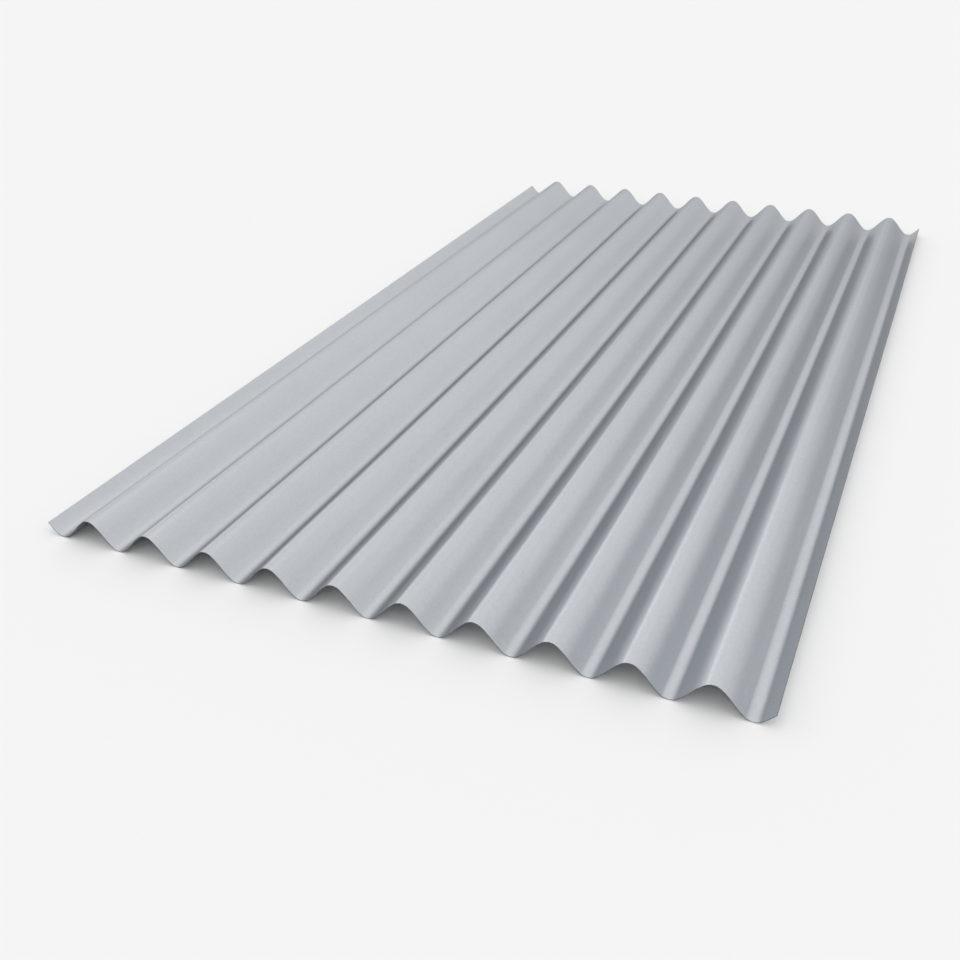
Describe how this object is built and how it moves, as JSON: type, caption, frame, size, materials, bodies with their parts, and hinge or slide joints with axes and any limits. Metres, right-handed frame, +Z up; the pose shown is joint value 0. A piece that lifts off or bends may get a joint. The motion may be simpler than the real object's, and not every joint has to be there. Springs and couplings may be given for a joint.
{
  "type": "corrugated metal sheet",
  "caption": "Corrugated metal sheet: thin coated steel rolled into even round waves, with square-cut ends and half-height side edges that lap, for roofing, cladding or fencing.",
  "frame": {"origin": "on the ground plane, under the middle valley, at the middle of the length", "axes": "+X across the waves, +Y along the waves, +Z up from the valleys to the crests"},
  "size_m": [0.8006, 1.5, 0.0294],
  "materials": {
    "coated_steel": "satin zinc-aluminium coating, pale grey"
  },
  "bodies": {
    "root": {"corrugated_sheet": "coated_steel"}
  },
  "joints": []
}
